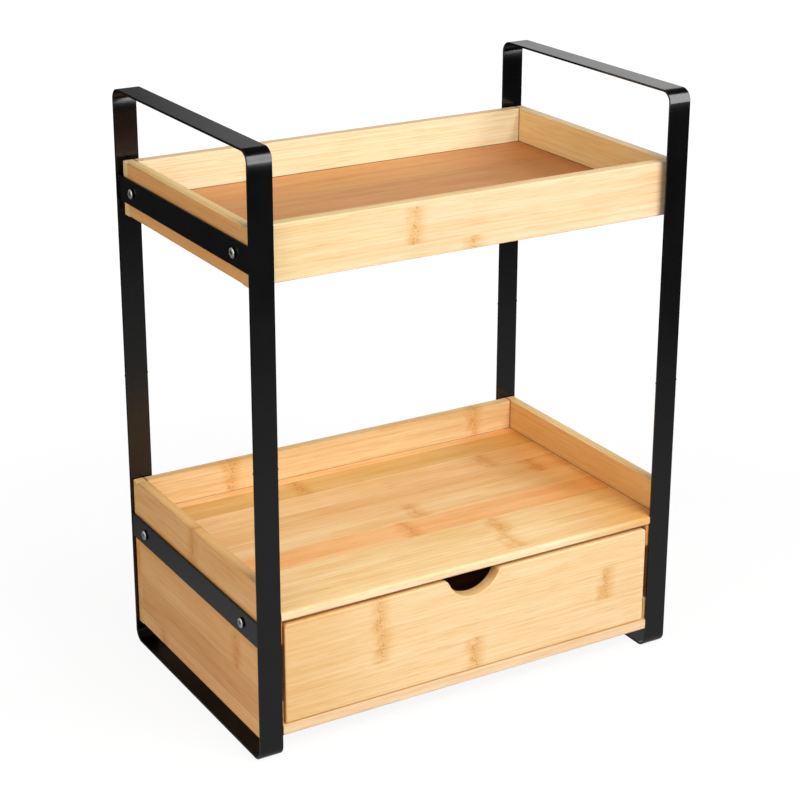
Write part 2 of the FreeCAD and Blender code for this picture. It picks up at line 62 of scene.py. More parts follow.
def linear(hex_colour):
    """An sRGB hex colour as the linear red, green, blue and alpha of a shader."""
    parts = [int(hex_colour[i:i + 2], 16) / 255 for i in (1, 3, 5)]
    light = [p / 12.92 if p <= 0.04045 else ((p + 0.055) / 1.055) ** 2.4 for p in parts]
    return (*light, 1.0)


print("sRGB #808080 in linear light:", [round(v, 3) for v in linear("#808080")])

# %% [markdown]
# ## One function for every shader node
# A material is a graph of nodes. Each call below adds one node, sets its options, fills
# its inputs with values, or links them where the value is another node's output.

# %% Add a node


def add(tree, kind, inputs=(), stops=(), **settings):
    """Adds a node with its settings, its colour stops, its input values and its links."""
    node = tree.nodes.new(kind)
    for name, value in settings.items():
        setattr(node, name, value)
    for key, value in dict(inputs).items():
        if isinstance(value, bpy.types.NodeSocket):
            tree.links.new(value, node.inputs[key])
        else:
            node.inputs[key].default_value = value
    for number, (position, colour) in enumerate(stops):
        elements = node.color_ramp.elements
        stop = elements[number] if number < len(elements) else elements.new(position)
        stop.position, stop.color = position, colour
    return node


def calculate(tree, operation, *values):
    """Adds one step of arithmetic and gives back its result."""
    return add(tree, "ShaderNodeMath", dict(enumerate(values)), operation=operation).outputs[0]


def mapped(tree, value, low, high, start=0.0, end=1.0, **settings):
    """Adds a value's change from start to end, while it goes from low to high."""
    return add(tree, "ShaderNodeMapRange", {0: value, 1: low, 2: high, 3: start, 4: end},
               **settings).outputs[0]


def noise(tree, place, scale, detail):
    """Adds soft noise over a place and gives back its value."""
    return add(tree, "ShaderNodeTexNoise",
               {"Vector": place, "Scale": scale, "Detail": detail}).outputs[0]


def tinted(tree, amount, colour, tint, blend="MULTIPLY"):
    """Adds a blend of a colour with a tint and gives back its result."""
    return add(tree, "ShaderNodeMix", {0: amount, 6: colour, 7: tint},
               data_type="RGBA", blend_type=blend).outputs[2]


def place_in_mm(tree):
    """Adds the place on a piece, in millimetres from the frame's origin, and gives it back."""
    lookup = add(tree, "ShaderNodeTexCoord")
    return add(tree, "ShaderNodeVectorMath", {0: lookup.outputs["Object"], "Scale": MM_PER_M},
               operation="SCALE").outputs[0]


def new_material(name):
    """A material with an empty node tree and its surface output."""
    material = bpy.data.materials.new(name)
    material.use_nodes = True
    material.node_tree.nodes.clear()
    output = add(material.node_tree, "ShaderNodeOutputMaterial")
    return material, material.node_tree, output.inputs["Surface"]


# %% [markdown]
# ## Bamboo: how the boards are made
# Pressed bamboo board is glued from strips about 24 mm wide, split from the culm and
# planed flat. Each strip keeps its own tone, its fibres run straight along it, and where
# the culm had a node the strip has a short darker patch with pits in it.
# The board is sanded and gets a thin clear lacquer. A picture could paint this on, but
# a solid pattern in three directions also gets the end grain right, so it is used here.

# %% Bamboo sizes and tones
STRIP_WIDTH = 24.4      # mm, one glued strip
STRIP_JUMP = 371.0      # mm, how far the pattern jumps from one strip to the next
PATTERN_SPAN = 900      # mm, where in the pattern a board may start
EASE = 0.35             # mm, the sanding of the sharp edges
EASE_ANGLE = 50         # degrees, how sharp an edge is sanded
MERGE = 0.001           # mm, corners closer than this become one
SEAM = 0.75             # mm, the dark hairline where two boards meet
GRAIN_LAYERS = {        # length and width in mm, detail, tint, noise at its full and at no strength
    "streak": (260.0, 1.7, 3.0, "#FAF0DC", 0.32, 0.6),      # a band of denser fibre bundles
    "cloud": (80.0, 9.0, 3.0, "#EDD3A4", 0.34, 0.62),       # a soft change of tone in a strip
    "fibre": (22.0, 0.45, 2.0, "#F5E8D2", 0.32, 0.48),      # the dashes of single bundles
}
END_TINT = "#EBD3B2"    # how much darker a cut end is
FIBRE_ROUGHNESS = (0.5, 0.38)       # of the lacquer, over the dark and the light dashes
# The amber and toffee tones are darker, more saturated copies for the left-facing walls: painted
# shade, as those faces turn away from the light.
TONES = {
    "chalk": "#F6EDCA",
    "ivory": "#F1D4AF",
    "linen": "#F7D8AA",
    "cream": "#F8D9AB",
    "shell": "#FFE2AD",
    "butter": "#FBE0B0",
    "pale": "#FDDBA7",
    "flax": "#FFDF9E",
    "straw": "#FFCB8D",
    "oat": "#F0C27C",
    "tan": "#F7CD93",
    "fawn": "#FBD59F",
    "honey": "#EAC27E",
    "shaded_amber": "#ECB87B",
    "shaded_toffee": "#E2AA6B",
}
print("bamboo tones:", ", ".join(TONES))

# %% [markdown]
# ## A bamboo node
# On the culm a node is a raised ring. Planed flat it leaves a jagged dark line of pits
# about 3 mm wide in a golden patch with a faint pale halo. All of it stops dead at the
# glue lines, because the next strip had its node elsewhere. It is a group, so each mark
# is one node in a board.

# %% Group: the mark of a culm node
MARK_REACH = {          # mm from the mark's middle, where it ends and where it is full
    "Patch": (10.5, 1.0),
    "Pits": (3.0, 0.6),
    "Halo": (26.0, 11.0),
}
MARK_SWAY = 11.0        # mm, how far the mark wanders along the strip


def build_knuckle_group():
    """How strong a mark's patch, pits and halo are at a place on a board."""
    tree = bpy.data.node_groups.new("Culm node mark", "ShaderNodeTree")
    for name in ("Along", "Across", "Place", "Middle", "Half width"):
        tree.interface.new_socket(name, in_out="INPUT", socket_type="NodeSocketFloat")
    for name in MARK_REACH:
        tree.interface.new_socket(name, in_out="OUTPUT", socket_type="NodeSocketFloat")
    given = add(tree, "NodeGroupInput").outputs
    at = add(tree, "ShaderNodeCombineXYZ",
             {0: given["Along"], 1: given["Across"], 2: given["Place"]}).outputs[0]
    wander = noise(tree, at, scale=0.16, detail=3.0)
    speckle = noise(tree, at, scale=0.9, detail=2.0)

    # the distance from the mark's wandering middle, and the room left to the glue line
    offset = calculate(tree, "SUBTRACT", given["Along"], given["Place"])
    sway = calculate(tree, "MULTIPLY_ADD", wander, MARK_SWAY, -MARK_SWAY / 2)
    distance = calculate(tree, "ABSOLUTE", calculate(tree, "ADD", offset, sway))
    aside = calculate(tree, "SUBTRACT", given["Across"], given["Middle"])
    spare = calculate(tree, "SUBTRACT", given["Half width"], calculate(tree, "ABSOLUTE", aside))
    inside = mapped(tree, spare, -0.1, 0.5)

    parts = {}
    for part, (end, full) in MARK_REACH.items():
        close = mapped(tree, distance, end, full, interpolation_type="SMOOTHSTEP")
        parts[part] = calculate(tree, "MULTIPLY", close, inside)
    pits = calculate(tree, "MULTIPLY", parts["Pits"], mapped(tree, speckle, 0.52, 0.66))
    mottle = mapped(tree, wander, 0.3, 0.65, 0.45, 1.0)
    patch = calculate(tree, "MULTIPLY", parts["Patch"], mottle)
    add(tree, "NodeGroupOutput", {0: patch, 1: pits, 2: parts["Halo"]})
    return tree


knuckle_group = build_knuckle_group()
print("group:", knuckle_group.name, len(knuckle_group.nodes), "nodes")

# %% [markdown]
# ## Bamboo fibres
# The group below takes a place on the board in millimetres, along, across and through
# the grain, and a strip's tone. Stretched noise in three sizes makes the clouds, the
# soft streaks and the short dark dashes. On a cut end the same noise is seen end-on and
# becomes dots, as it does on the real board. It also gives a height and a roughness.

# %% Group: the grain of a strip


def build_grain_group():
    """The colour, height and roughness of the grain at a place on a board."""
    tree = bpy.data.node_groups.new("Bamboo grain", "ShaderNodeTree")
    for name, kind in (("Place", "Vector"), ("Tone", "Color"), ("End grain", "Float"),
                       ("Figure", "Float")):
        tree.interface.new_socket(name, in_out="INPUT", socket_type="NodeSocket" + kind)
    for name, kind in (("Color", "Color"), ("Height", "Float"), ("Roughness", "Float")):
        tree.interface.new_socket(name, in_out="OUTPUT", socket_type="NodeSocket" + kind)
    given = add(tree, "NodeGroupInput").outputs
    colour = given["Tone"]
    noises = {}
    for layer, (length, width, detail, tint, low, high) in GRAIN_LAYERS.items():
        scale = (1 / length, 1 / width, 1 / width)
        stretched = add(tree, "ShaderNodeVectorMath", {0: given["Place"], 1: scale},
                        operation="MULTIPLY")
        noises[layer] = noise(tree, stretched.outputs[0], 1.0, detail)
        shade = add(tree, "ShaderNodeValToRGB", {0: noises[layer]},
                    stops=((low, linear(tint)), (high, linear("#FFFFFF"))))
        strength = given["Figure"] if layer == "cloud" else 1.0
        colour = tinted(tree, strength, colour, shade.outputs[0])
    ended = tinted(tree, given["End grain"], colour, linear(END_TINT))
    rough = mapped(tree, noises["fibre"], 0.3, 0.7, *FIBRE_ROUGHNESS)
    add(tree, "NodeGroupOutput", {0: ended, 1: noises["fibre"], 2: rough})
    return tree


grain_group = build_grain_group()
print("group:", grain_group.name, len(grain_group.nodes), "nodes")

# %% [markdown]
# ## A lacquered bamboo board
# One function makes the finish of one board. It is told which axes run along, across
# and through the grain, where the glue joints are, and each strip's tone and the places
# of its culm nodes. Lacquered wood is a plain dielectric, so metallic stays 0, the IOR
# is that of lacquer, 1.5, and its satin shows as a roughness near 0.45.

# %% The finish of one board
END_GRAIN = (0.6, 0.9)      # cosines to the grain, between which a face turns into a cut end
NARROW_EDGE = (0.5, 0.9)    # cosines to the strips' row, between which it turns into an edge
MARK_LAYERS = (             # what a culm node's mark does: part, strength, tint, blend
    ("Halo", 0.2, "#3A2C1C", "SCREEN"),
    ("Patch", 0.75, "#EFD3A4", "MULTIPLY"),
    ("Pits", 0.7, "#BE9058", "MULTIPLY"),
)
PIT_DEPTH = 0.4             # share of a fibre's relief
RELIEF = 0.12               # mm, the relief that sanding leaves
RELIEF_STRENGTH = 0.25
# the tint and strength of the painted shade along the joints
SEAM_SHADE_TINT, SEAM_SHADE_STRENGTH = "#6A3A12", 0.9
LACQUER_IOR = 1.5
GLOSS = 0.35                # specular level of a thin satin lacquer
FIGURE = 0.3                # how cloudy a strip usually is


def board_finish(name, axes, first_joint, strips, tones=TONES, gloss=GLOSS,
                 seams=(), edge=None, painted_shade=None, figure=FIGURE):
    """Bamboo strips, each (tone, places of its nodes), from the lowest joint upwards.

    A seam is (axis, place): a plane along which another board stands on this one.
    The fade (from, to, tint) gives places along the grain between which painted shade darkens the
    board.
    The edge is the tone of its narrow edges, painted light and shade set to the light on them,
    and the figure is how cloudy its strips are.
    """
    material, tree, surface = new_material(name)
    chance = random.Random(name)
    place = add(tree, "ShaderNodeSeparateXYZ", {0: place_in_mm(tree)}).outputs
    lookup = add(tree, "ShaderNodeTexCoord")
    facing = add(tree, "ShaderNodeSeparateXYZ", {0: lookup.outputs["Normal"]}).outputs
    along, across, through = (place["xyz".index(axis)] for axis in axes)
    towards_end, towards_edge = (facing["xyz".index(axis)] for axis in axes[:2])

    low = first_joint - STRIP_WIDTH
    span = STRIP_WIDTH * len(strips)
    share = mapped(tree, across, low, low + span)
    rows = [(number / len(strips), linear(tones[tone])) for number, (tone, _) in enumerate(strips)]
    lay_up = add(tree, "ShaderNodeValToRGB", {0: share}, stops=rows + [(1.0, rows[-1][1])])
    lay_up.color_ramp.interpolation = "CONSTANT"
    tone = lay_up.outputs[0]
    # the narrow edges take their own tone: painted light and shade
    if edge:
        narrow_face = mapped(tree, calculate(tree, "ABSOLUTE", towards_edge), *NARROW_EDGE)
        tone = tinted(tree, narrow_face, tone, linear(edge), blend="MIX")

    # each strip came from another culm, so the pattern jumps at every joint
    strip = calculate(tree, "FLOOR", calculate(tree, "MULTIPLY", share, float(len(strips))))
    start = calculate(tree, "MULTIPLY_ADD", strip, STRIP_JUMP, chance.uniform(0, PATTERN_SPAN))
    slid = calculate(tree, "ADD", along, start)
    spot = add(tree, "ShaderNodeCombineXYZ", {0: slid, 1: across, 2: through})
    cut = mapped(tree, calculate(tree, "ABSOLUTE", towards_end), *END_GRAIN)
    grain = add(tree, "ShaderNodeGroup", {"Place": spot.outputs[0], "Tone": tone,
                                          "End grain": cut, "Figure": figure},
                node_tree=grain_group)

    colour, height = grain.outputs["Color"], grain.outputs["Height"]
    # painted shade that darkens the board along its grain
    if painted_shade:
        shade_share = mapped(tree, along, painted_shade[0], painted_shade[1], interpolation_type="SMOOTHSTEP")
        colour = tinted(tree, shade_share, colour, linear(painted_shade[2]))
    for number, (_, nodes) in enumerate(strips):
        for node_place in nodes:
            middle = low + (number + 0.5) * STRIP_WIDTH
            mark = add(tree, "ShaderNodeGroup",
                       {"Along": along, "Across": across, "Place": node_place,
                        "Middle": middle, "Half width": STRIP_WIDTH / 2},
                       node_tree=knuckle_group).outputs
            for part, strength, tint, blend in MARK_LAYERS:
                amount = calculate(tree, "MULTIPLY", mark[part], strength)
                colour = tinted(tree, amount, colour, linear(tint), blend)
            height = calculate(tree, "MULTIPLY_ADD", mark["Pits"], -PIT_DEPTH, height)
    # a dark hairline along each joint: painted shade in the gap between the sanded edges
    for axis, at in seams:
        apart = calculate(tree, "ABSOLUTE",
                          calculate(tree, "SUBTRACT", place["xyz".index(axis)], at))
        line = mapped(tree, apart, SEAM, SEAM / 2, end=SEAM_SHADE_STRENGTH)
        colour = tinted(tree, line, colour, linear(SEAM_SHADE_TINT))
    relief = add(tree, "ShaderNodeBump", {"Height": height, "Strength": RELIEF_STRENGTH,
                                          "Distance": RELIEF * MM})
    lacquer = add(tree, "ShaderNodeBsdfPrincipled",
                  {"Base Color": colour, "Roughness": grain.outputs["Roughness"],
                   "IOR": LACQUER_IOR, "Specular IOR Level": gloss, "Normal": relief.outputs[0]})
    tree.links.new(lacquer.outputs[0], surface)
    return material


# %% [markdown]
# ## The boards in view
# The joints of the shelf, the walls and the drawer's front are at real places, in
# millimetres from the frame's origin, and so are their culm nodes. "xyz" means that the
# grain runs along X, the strips lie side by side along Y and Z is the thickness.

# %% Lay-up of each board
BOARDS = {
    "cabinet_shelf": ("xyz", -91.8, [
        ("shell", []), ("shell", [40]), ("shell", [46]), ("straw", [-10]), ("pale", [8]),
        ("tan", [125]), ("fawn", [99]), ("honey", [-42]), ("fawn", [])]),
    "drawer_front": ("xzy", 47.0, [("linen", [2]), ("linen", [-70, 108]), ("linen", [-72])]),
    "top_tray_front_wall": ("xzy", 325.0, [("ivory", [-1]), ("ivory", [-43])]),
    "top_tray_back_wall": ("xzy", 330.0, [("chalk", []), ("chalk", [-64])]),
    # the two left walls are laid up in the darker tones: painted shade
    "top_tray_left_wall": ("yzx", 331.0, [("shaded_toffee", []), ("shaded_toffee", [])]),
    "top_tray_right_wall": ("yzx", 334.0, [("flax", []), ("flax", [])]),
    "cabinet_left_side": ("yzx", 26.8, [
        ("shaded_amber", [52]), ("shaded_toffee", []), ("shaded_amber", [-62]), ("shaded_toffee", []), ("shaded_amber", [0])]),
    "cabinet_right_side": ("yzx", 26.8, [
        ("pale", []), ("straw", []), ("pale", []), ("oat", []), ("oat", [])]),
    "cabinet_back": ("xzy", 26.8, [
        ("cream", []), ("cream", [80]), ("straw", [-90]), ("cream", []), ("butter", [-86, 118])]),
    "cabinet_bottom": ("xyz", -80.0, [
        ("cream", []), ("cream", []), ("straw", [60]), ("cream", [])]),
    "drawer_left_side": ("yzx", 47.0, [("cream", []), ("straw", [40]), ("cream", [])]),
    "drawer_right_side": ("yzx", 51.0, [("straw", [-30]), ("cream", []), ("cream", [20])]),
    "drawer_back": ("xzy", 45.0, [("cream", [70]), ("straw", []), ("cream", [-50])]),
}
RAILS = [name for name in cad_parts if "guide_rail" in name]
print("boards:", len(BOARDS), "rails:", len(RAILS))

# %% [markdown]
# ## Seams and edges
# Where one board stands on another, a dark hairline is painted along the joint: painted
# shade in the narrow gap between their sanded edges. The places of those lines come from
# the boxes of the boards that meet. A board's narrow edges get a tone of their own, set to
# the light that falls on them: painted light and shade, lit and shaded copies of its tone.

# %% Dress the boards


def face_place(name, axis, side):
    """Where a board's face lies, in millimetres: side 0 is the lower one along the axis."""
    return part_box(name)[side]["xyz".index(axis)] * MM_PER_M


def dress(name, material):
    """Gives a CAD node its finish."""
    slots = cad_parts[name].data.materials
    slots.clear()
    slots.append(material)


def ease_edges(name):
    """Sands the sharp edges of a board, so that joints show as fine lines."""
    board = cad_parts[name]
    joined = board.modifiers.new("join the faces", "WELD")
    joined.merge_threshold = MERGE * MM
    eased = board.modifiers.new("sanded edges", "BEVEL")
    eased.width, eased.segments = EASE * MM, 2
    eased.limit_method, eased.angle_limit = "ANGLE", math.radians(EASE_ANGLE)
    eased.harden_normals = True


CABINET_WALLS = [("x", face_place("cabinet_left_side", "x", 1)),
                 ("x", face_place("cabinet_right_side", "x", 0))]
TRAY_WALLS = [("x", face_place("top_tray_left_wall", "x", 1)),
              ("x", face_place("top_tray_right_wall", "x", 0))]
TRAY_ENDS = [("y", face_place("top_tray_front_wall", "y", 1)),
             ("y", face_place("top_tray_back_wall", "y", 0))]
SEAMS = {
    "cabinet_shelf": CABINET_WALLS + [("y", face_place("cabinet_back", "y", 0))],
    "cabinet_back": CABINET_WALLS,
    "top_tray_back_wall": TRAY_WALLS,
    "top_tray_floor": TRAY_WALLS + TRAY_ENDS,
}
# tones of the narrow edges: painted light and shade, lit and shaded copies of each board's tone
LIT_EDGE_TONES = {
    "top_tray_left_wall": "#FFE0A2", "top_tray_right_wall": "#FFE7BE",
    "top_tray_back_wall": "#F2D2A9", "top_tray_front_wall": "#F0D2A4",
    "cabinet_left_side": "#F1C585", "cabinet_right_side": "#FFDEA2", "cabinet_back": "#FDDDAA",
    "cabinet_shelf": "#FEE5C1", "cabinet_bottom": "#F5D9B7", "drawer_front": "#F3D3A0",
    "drawer_left_side": "#E8C795", "drawer_right_side": "#E8C795", "drawer_back": "#E8C795",
}
# painted shade: darker towards the left ends of the tray's front and the drawer's front, and
# towards the right wall on the shelf
PAINTED_SHADE_FADES = {   # mm along the grain, from where to where, and the tint
    "top_tray_front_wall": (-20.0, -143.0, "#F8FEF1"),
    "drawer_front": (-50.0, -143.0, "#F4E8D5"),
    "cabinet_shelf": (60.0, 143.0, "#F0D6B0"),
}
FIGURES = {
    "cabinet_shelf": 0.5, "cabinet_left_side": 0.5, "cabinet_back": 0.5, "top_tray_back_wall": 0.1,
}

for name in (*BOARDS, *RAILS, "top_tray_floor"):
    ease_edges(name)
for board, (axes, first_joint, strips) in BOARDS.items():
    dress(board, board_finish("lacquered bamboo " + board, axes, first_joint, strips,
                              seams=SEAMS.get(board, ()), edge=LIT_EDGE_TONES[board],
                              painted_shade=PAINTED_SHADE_FADES.get(board), figure=FIGURES.get(board, FIGURE)))
rail_bamboo = board_finish("lacquered bamboo guide rails", "yzx", 50.0,
                           [("cream", []), ("cream", []), ("straw", []), ("cream", [])])
for name in RAILS:
    dress(name, rail_bamboo)
print("seams:", {name: len(places) for name, places in SEAMS.items()})

# %% [markdown]
# ## The caramel floor of the top tray and the drawer's bottom
# Steaming bamboo under pressure carbonises its sugars and turns it caramel all through.
# The tray's floor is such a panel. The drawer's bottom is a thin pale panel.

# %% Thin panels
CARAMEL_TONES = {"light": "#DCA068", "middle": "#D29A66", "deep": "#CB9263"}
THIN_TONES = {"light": "#EBCB9A", "middle": "#E4C08C"}
# its fade is painted shade, darker towards the tray's right wall
dress("top_tray_floor", board_finish("carbonised bamboo panel", "xyz", -60.0, [
    ("deep", []), ("middle", []), ("deep", []), ("middle", []), ("middle", []), ("light", []),
    ("light", [])],
    tones=CARAMEL_TONES, seams=SEAMS["top_tray_floor"], painted_shade=(40.0, 140.0, "#E3CBB6"), figure=0.5))
dress("drawer_bottom", board_finish("thin bamboo panel", "xyz", -60.0, [
    ("light", []), ("middle", []), ("light", []), ("light", []), ("middle", []), ("light", [])],
    tones=THIN_TONES, gloss=0.3))

# %% [markdown]
# ## Black powder coat
# The loops and crossbars are mild steel sprayed with dry powder and baked. The coat is
# a satin black plastic skin, so it isn't metallic. It flows out with a faint orange
# peel, about a millimetre from bump to bump, which breaks up the reflections.
# Where the strip runs into an upper bend, a light in front fades out down the post. The
# solids keep a true arc there, so a bump eases it in the shading only.

# %% Powder coat
BEND_RADIUS = 8.0       # mm, outside of a bend
LOOP_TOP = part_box("left_loop_upper_hoop")[1][2] * MM_PER_M
BEND_FOOT = LOOP_TOP - BEND_RADIUS                          # mm, where the upper bends begin
BOW_STEP = 3.0          # mm from stop to stop
BOW_BELOW, BOW_ABOVE = 4, 3                                 # steps below and above the foot
BOW_STOPS = (0.0, 0.0, 0.06, 0.26, 0.58, 1.0, 0.66, 0.49)   # share of the depth at each stop
BOW_DEPTH = 2.3         # mm
PEEL_DEPTH = 0.04       # mm
PEEL_STRENGTH = 0.3
POWDER_IOR = 1.5
POWDER_ROUGHNESS = (0.18, 0.23)


def powder_coat():
    """Satin black, with orange peel and an eased face beside the upper bends."""
    material, tree, surface = new_material("satin black powder coat")
    spot = place_in_mm(tree)
    peel = noise(tree, spot, scale=0.9, detail=2.0)
    cloud = noise(tree, spot, scale=0.035, detail=3.0)
    rough = mapped(tree, cloud, 0.3, 0.7, *POWDER_ROUGHNESS)
    black = add(tree, "ShaderNodeValToRGB", {0: cloud},
                stops=((0.3, linear("#050506")), (0.7, linear("#09090A"))))

    height = add(tree, "ShaderNodeSeparateXYZ", {0: spot}).outputs[2]
    near_bend = mapped(tree, height, BEND_FOOT - BOW_BELOW * BOW_STEP,
                       BEND_FOOT + BOW_ABOVE * BOW_STEP)
    steps = BOW_BELOW + BOW_ABOVE
    stops = [(number / steps, (rise, rise, rise, 1.0)) for number, rise in enumerate(BOW_STOPS)]
    bow = add(tree, "ShaderNodeValToRGB", {0: near_bend}, stops=stops)
    bow.color_ramp.interpolation = "B_SPLINE"
    bent = add(tree, "ShaderNodeBump", {"Height": bow.outputs[0], "Strength": 1.0,
                                        "Distance": BOW_DEPTH * MM}, invert=True)
    relief = add(tree, "ShaderNodeBump", {"Height": peel, "Strength": PEEL_STRENGTH,
                                          "Distance": PEEL_DEPTH * MM, "Normal": bent.outputs[0]})
    skin = add(tree, "ShaderNodeBsdfPrincipled",
               {"Base Color": black.outputs[0], "Roughness": rough, "IOR": POWDER_IOR,
                "Normal": relief.outputs[0]})
    tree.links.new(skin.outputs[0], surface)
    return material


black_coat = powder_coat()
STEEL = [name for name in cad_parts
         if any(word in name for word in ("hoop", "welds", "crossbar"))]
for name in STEEL:
    dress(name, black_coat)
print("powder coated:", len(STEEL))

# %% [markdown]
# ## Zinc-plated screws
# Cheap pan-head screws are cold-formed steel with a thin bright zinc plate. Zinc is a
# metal, so metallic is 1, the base colour is its reflection and the default IOR stays.
# Deeper than a quarter millimetre below a head's face, in the cross and on the lower rim, the zinc
# is painted darker: painted shade.

# %% Zinc plate
# painted shade: below the head's face the zinc darkens, in the crosses and on the rims
RECESS_SHADE_FROM, RECESS_SHADE_TO = 0.25, 0.75     # mm below the head's face, where the cross turns dull
RECESS_SHADE_TINT = "#34332F"
ZINC_ROUGHNESS = (0.42, 0.55)


def zinc_plate(name):
    """Bright zinc for one set of screws, with painted shade below the faces of their heads."""
    material, tree, surface = new_material("bright zinc plate on " + name)
    spot = place_in_mm(tree)
    spangle = noise(tree, spot, scale=1.6, detail=2.0)
    tint = add(tree, "ShaderNodeValToRGB", {0: spangle},
               stops=((0.35, linear("#D9DAD7")), (0.65, linear("#F3F3F0"))))
    rough = mapped(tree, spangle, 0.3, 0.7, *ZINC_ROUGHNESS)
    face = max(abs(corner[0]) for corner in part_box(name)) * MM_PER_M
    out = calculate(tree, "ABSOLUTE", add(tree, "ShaderNodeSeparateXYZ", {0: spot}).outputs[0])
    # painted shade in the crosses and on the lower rims
    shade_depth = mapped(tree, out, face - RECESS_SHADE_FROM, face - RECESS_SHADE_TO)
    shaded_zinc = tinted(tree, shade_depth, tint.outputs[0], linear(RECESS_SHADE_TINT), blend="MIX")
    plate = add(tree, "ShaderNodeBsdfPrincipled",
                {"Base Color": shaded_zinc, "Roughness": rough, "Metallic": 1.0})
    tree.links.new(plate.outputs[0], surface)
    return material


SCREWS = [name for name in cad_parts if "screws" in name]
for name in SCREWS:
    dress(name, zinc_plate(name))
print("screw sets:", len(SCREWS))

# %% [markdown]
# ## Fillet welds at the crossbars' ends
# Each crossbar is welded between the two posts of its loop. The bead lies in the corner
# between the bar's outer face and the post, low and about a millimetre wide, with the
# ripples of the moving torch. It is modelled as a row of cross-sections joined into a
# closed skin, because a plain rod would have neither the ripples nor the rounded ends.

# %% Build the weld beads
BEAD_RADIUS = 0.9 * MM
BEAD_STEPS = 22
BEAD_SIDES = 10
BEAD_SHIFT = 0.35 * BEAD_RADIUS     # from the post's face to the bead's middle, along the bar
BEAD_SINK = 0.6 * BEAD_RADIUS       # from the bar's face to the bead's middle, into the bar
TIP = 0.25                          # share of the radius that is left at its ends
RIPPLE, RIPPLE_TURN = 0.12, 2.4     # share of the radius, and radians from step to step
UNEVEN = 0.05                       # share of the radius, at random


def add_bead(mesh, start, end, towards_post, outward, seed):
    """A rippled bead from start to end in the corner of two faces."""
    chance = random.Random(seed)
    rings = []
    for step in range(BEAD_STEPS + 1):
        share = step / BEAD_STEPS
        ends = math.sqrt(max(0.0, 1 - (2 * share - 1) ** 6))
        ripple = 1 + RIPPLE * math.sin(step * RIPPLE_TURN) + chance.uniform(-UNEVEN, UNEVEN)
        radius = BEAD_RADIUS * (TIP + (1 - TIP) * ends) * ripple
        middle = start.lerp(end, share)
        ring = []
        for side in range(BEAD_SIDES):
            turn = 2 * math.pi * side / BEAD_SIDES
            spoke = math.cos(turn) * towards_post + math.sin(turn) * outward
            ring.append(mesh.verts.new(middle + radius * spoke))
        rings.append(ring)
    for near, far in zip(rings, rings[1:]):
        for side in range(BEAD_SIDES):
            after = (side + 1) % BEAD_SIDES
            mesh.faces.new((near[side], near[after], far[after], far[side]))
    mesh.faces.new(reversed(rings[0]))
    mesh.faces.new(rings[-1])


def build_bar_welds(side, level):
    """The two beads at the ends of one crossbar, as one piece."""
    bar = f"{side}_{level}_crossbar"
    low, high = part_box(bar)
    outer_x = low[0] if side == "left" else high[0]
    outward = Vector((-1.0 if side == "left" else 1.0, 0, 0))
    mesh = bmesh.new()
    for y, to_post in ((low[1], Vector((0, -1.0, 0))), (high[1], Vector((0, 1.0, 0)))):
        shift = -BEAD_SHIFT * to_post - BEAD_SINK * outward
        bottom = Vector((outer_x, y, low[2])) + shift
        top = Vector((outer_x, y, high[2])) + shift
        add_bead(mesh, bottom, top, to_post, outward, f"{bar}{y:.3f}")
    bmesh.ops.recalc_face_normals(mesh, faces=mesh.faces)
    data = bpy.data.meshes.new(bar + "_end_welds")
    mesh.to_mesh(data)
    mesh.free()
    for face in data.polygons:
        face.use_smooth = True
    data.materials.append(black_coat)
    welds = bpy.data.objects.new(bar + "_end_welds", data)
    bpy.context.scene.collection.objects.link(welds)
    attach(welds, "rack")
    return welds


bar_welds = [build_bar_welds(side, level)
             for side in ("left", "right") for level in ("upper", "lower")]
print("weld pieces:", [welds.name for welds in bar_welds])

# %% [markdown]
# ## The studio
# A product like this is shot on a white sweep under broad soft light. The floor is a
# plain pale plane. For the camera part of its white is its own, so that the picture's
# ground stays pale, and the rest is lit, so that the caddy's shadow stays on it.

# %% Floor
FLOOR_SIZE = 6.0                        # metres
FLOOR_DROP = 0.2 * MM                   # so that it doesn't share a face with the feet
SHEET_MIDDLE = (0.05, -0.25, 0.0)       # metres, the middle of the lit paper
SHEET_INNER, SHEET_OUTER = 0.1, 0.9     # metres from there, where it fades in reflections
SHEET_LEVEL = 0.45                      # how bright the lit paper is in reflections
ROOM_LEVEL = 0.04                       # and the room beyond it
GLOW_LEVEL = 1.06                       # the floor's own white for the camera
GLOW_INNER, GLOW_OUTER = 0.45, 1.1      # metres from the same middle, where that white takes over
GLOW_NEAR, GLOW_FAR = 0.85, 1.0         # its share of the picture inside and outside


